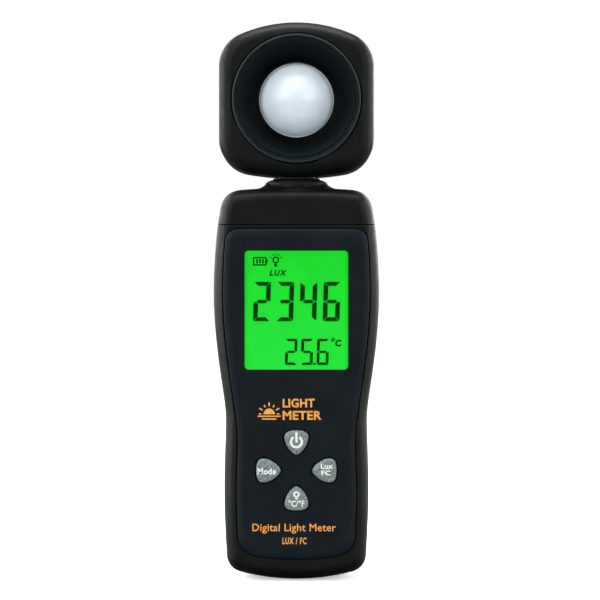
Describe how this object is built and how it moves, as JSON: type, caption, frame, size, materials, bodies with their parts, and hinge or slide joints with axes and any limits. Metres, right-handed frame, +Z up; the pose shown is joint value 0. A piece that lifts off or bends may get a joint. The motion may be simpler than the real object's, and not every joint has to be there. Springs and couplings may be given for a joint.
{
  "type": "light meter",
  "caption": "Hand-held digital light meter with a swivelling white dome sensor, a backlit green display and a cross of keys.",
  "frame": {"origin": "middle of the foot, on the surface that the meter would stand on", "axes": "+Z up along the meter to its head, -Y out of the display, +X to the right as the display is read"},
  "size_m": [0.0512, 0.029, 0.1721],
  "materials": {
    "case": "soft-touch black plastic with a fine grain",
    "panel": "smooth charcoal plastic",
    "ring": "dull black plastic that reflects no stray light",
    "dome": "translucent white diffuser",
    "window": "clear acrylic",
    "display": "display glass lit green from behind",
    "key": "satin grey plastic",
    "white_plastic": "plain moulded white plastic",
    "grey_rubber": "silicone",
    "black_rubber": "smooth black rubber",
    "board": "green solder mask",
    "chip": "moulded epoxy",
    "steel": "zinc-plated steel",
    "nickel": "nickel-plated spring steel",
    "filter": "green colour-correction glass",
    "cell": "printed cell jacket, left plain",
    "lead": "black cable jacket"
  },
  "bodies": {
    "root": {"front_shell": "case", "rear_shell": "case", "top_cap": "case", "face_panel": "panel", "display_window": "window", "display_glass": "display", "display_frame": "white_plastic", "backlight_panel": "white_plastic", "lead_socket": "white_plastic", "main_board": "board", "meter_chip": "chip", "amplifier_chip": "chip", "thermistor": "chip", "clock_crystal": "steel", "capacitor": "steel", "contact_strip": "black_rubber", "keypad_mat": "grey_rubber", "case_lead": "lead", "positive_contact": "nickel", "negative_contact": "nickel", "low_bridge_contact": "nickel", "high_bridge_contact": "nickel", "cell_left": "cell", "cell_middle": "cell", "cell_right": "cell", "case_screw_1": "steel", "case_screw_2": "steel", "case_screw_3": "steel", "case_screw_4": "steel", "board_screw_1": "steel", "board_screw_2": "steel", "board_screw_3": "steel", "board_screw_4": "steel"},
    "head": {"head_front_shell": "case", "head_rear_shell": "case", "baffle_ring": "ring", "sensor_holder": "ring", "diffuser_dome": "dome", "color_filter": "filter", "photodiode": "steel", "stem_clip": "steel", "sensor_board": "board", "swivel_stem": "white_plastic", "stop_collar": "white_plastic", "friction_ring": "black_rubber", "head_lead": "lead", "head_screw_1": "steel", "head_screw_2": "steel", "head_screw_3": "steel", "head_screw_4": "steel", "sensor_screw_1": "steel", "sensor_screw_2": "steel"},
    "power_key": {"power_key": "key"},
    "mode_key": {"mode_key": "key"},
    "lamp_key": {"lamp_key": "key"},
    "unit_key": {"unit_key": "key"},
    "door": {"battery_door": "case"}
  },
  "joints": [
    {"name": "head_swivel", "type": "hinge", "parent": "root", "child": "head", "pos_m": [0, 0, 0.116], "axis": [0, 0, 1], "range_deg": [-90, 180]},
    {"name": "power_key_press", "type": "slide", "parent": "root", "child": "power_key", "axis": [0, 1, 0], "range_m": [0, 0.0008], "stiffness_N_per_m": 1500},
    {"name": "mode_key_press", "type": "slide", "parent": "root", "child": "mode_key", "axis": [0, 1, 0], "range_m": [0, 0.0008], "stiffness_N_per_m": 1500},
    {"name": "lamp_key_press", "type": "slide", "parent": "root", "child": "lamp_key", "axis": [0, 1, 0], "range_m": [0, 0.0008], "stiffness_N_per_m": 1500},
    {"name": "unit_key_press", "type": "slide", "parent": "root", "child": "unit_key", "axis": [0, 1, 0], "range_m": [0, 0.0008], "stiffness_N_per_m": 1500},
    {"name": "door_hinge", "type": "hinge", "parent": "root", "child": "door", "pos_m": [0, 0.0145, 0.008], "axis": [-1, 0, 0], "range_deg": [0, 75]}
  ]
}
